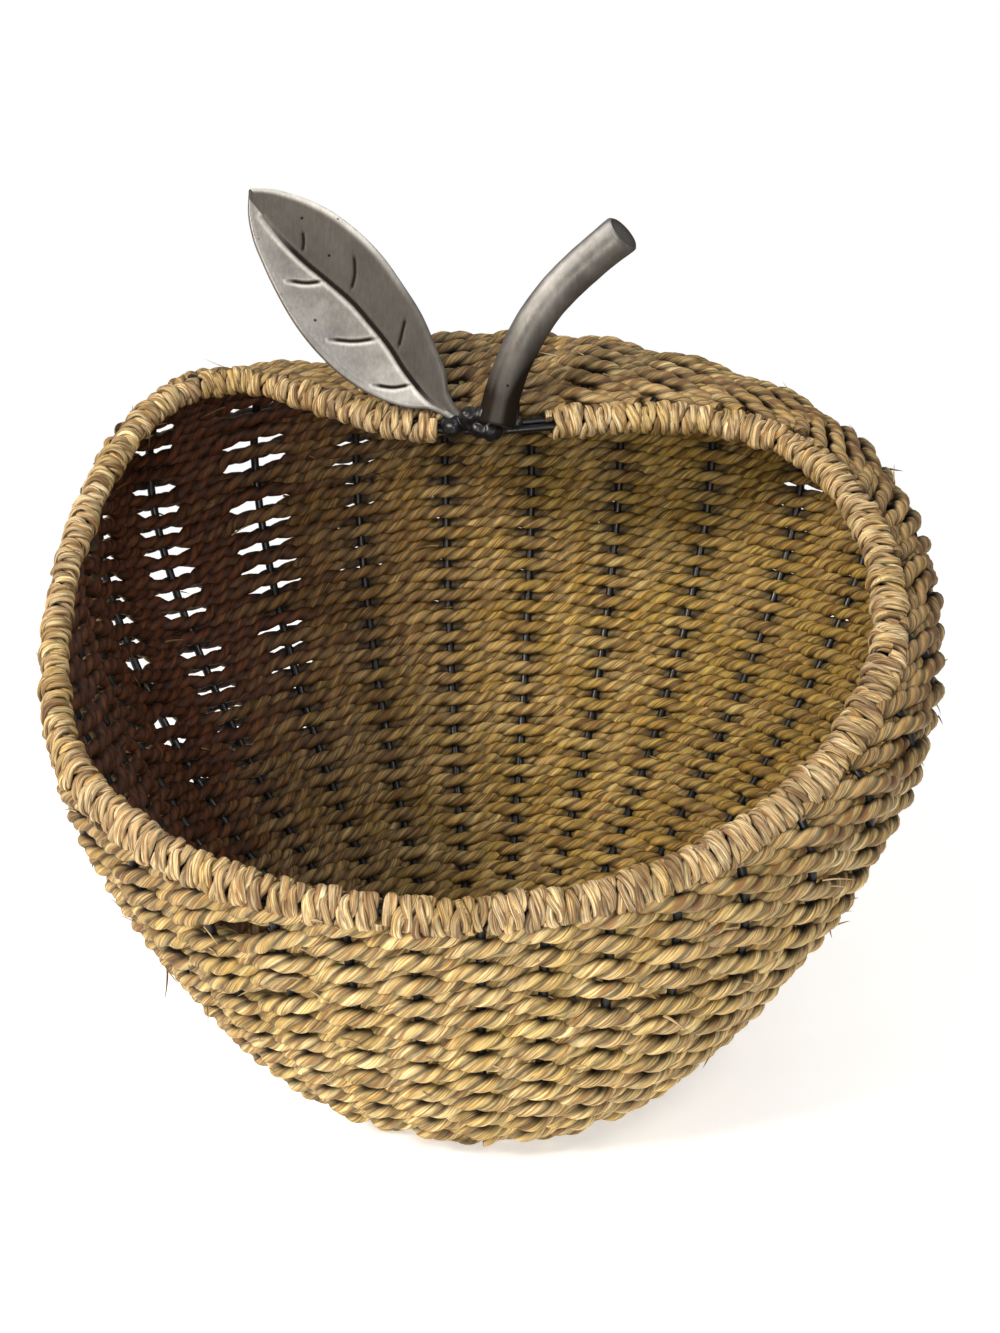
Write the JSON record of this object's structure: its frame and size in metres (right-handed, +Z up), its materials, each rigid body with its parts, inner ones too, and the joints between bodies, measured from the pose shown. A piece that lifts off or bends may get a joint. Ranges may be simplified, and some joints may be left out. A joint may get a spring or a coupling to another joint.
{
  "type": "apple-shaped wire and seagrass basket",
  "caption": "Apple-shaped open basket of seagrass cord woven on a wire frame, with a wrapped slanted rim and a cast metal leaf and stem at the back.",
  "frame": {"origin": "on the floor, under the middle of the whole basket's bounding box", "axes": "+Z up; -Y towards the low front of the slanted rim; +X to the right as seen from the front"},
  "size_m": [0.3238, 0.2884, 0.2881],
  "materials": {
    "seagrass_weave": "twisted plant fibre cord, matte",
    "seagrass_wrap": "flat plant fibre strands, matte",
    "black_wire": "satin black paint",
    "pewter_metal": "cast, antiqued, worn bright on the edges"
  },
  "bodies": {
    "root": {"base_mat_outer": "seagrass_weave", "base_mat_inner": "seagrass_weave", "hub_ring": "black_wire", "stake_01": "black_wire", "stake_02": "black_wire", "stake_03": "black_wire", "stake_04": "black_wire", "stake_05": "black_wire", "stake_06": "black_wire", "stake_07": "black_wire", "stake_08": "black_wire", "stake_09": "black_wire", "stake_10": "black_wire", "stake_11": "black_wire", "stake_12": "black_wire", "stake_13": "black_wire", "stake_14": "black_wire", "stake_15": "black_wire", "stake_16": "black_wire", "stake_17": "black_wire", "stake_18": "black_wire", "stake_19": "black_wire", "stake_20": "black_wire", "stake_21": "black_wire", "stake_22": "black_wire", "stake_23": "black_wire", "stake_24": "black_wire", "stake_25": "black_wire", "stake_26": "black_wire", "stake_27": "black_wire", "stake_28": "black_wire", "stake_29": "black_wire", "stake_30": "black_wire", "stake_31": "black_wire", "weave_course_01": "seagrass_weave", "weave_course_02": "seagrass_weave", "weave_course_03": "seagrass_weave", "weave_course_04": "seagrass_weave", "weave_course_05": "seagrass_weave", "weave_course_06": "seagrass_weave", "weave_course_07": "seagrass_weave", "weave_course_08": "seagrass_weave", "weave_course_09": "seagrass_weave", "weave_course_10": "seagrass_weave", "weave_course_11": "seagrass_weave", "weave_course_12": "seagrass_weave", "weave_course_13": "seagrass_weave", "weave_course_14": "seagrass_weave", "weave_course_15": "seagrass_weave", "rim_wire_outer": "black_wire", "rim_wire_inner": "black_wire", "rim_wrap_1": "seagrass_wrap", "rim_wrap_2": "seagrass_wrap", "rim_wrap_3": "seagrass_wrap", "rim_wrap_4": "seagrass_wrap", "crown_weld": "black_wire", "stem": "pewter_metal", "leaf": "pewter_metal"}
  },
  "joints": []
}
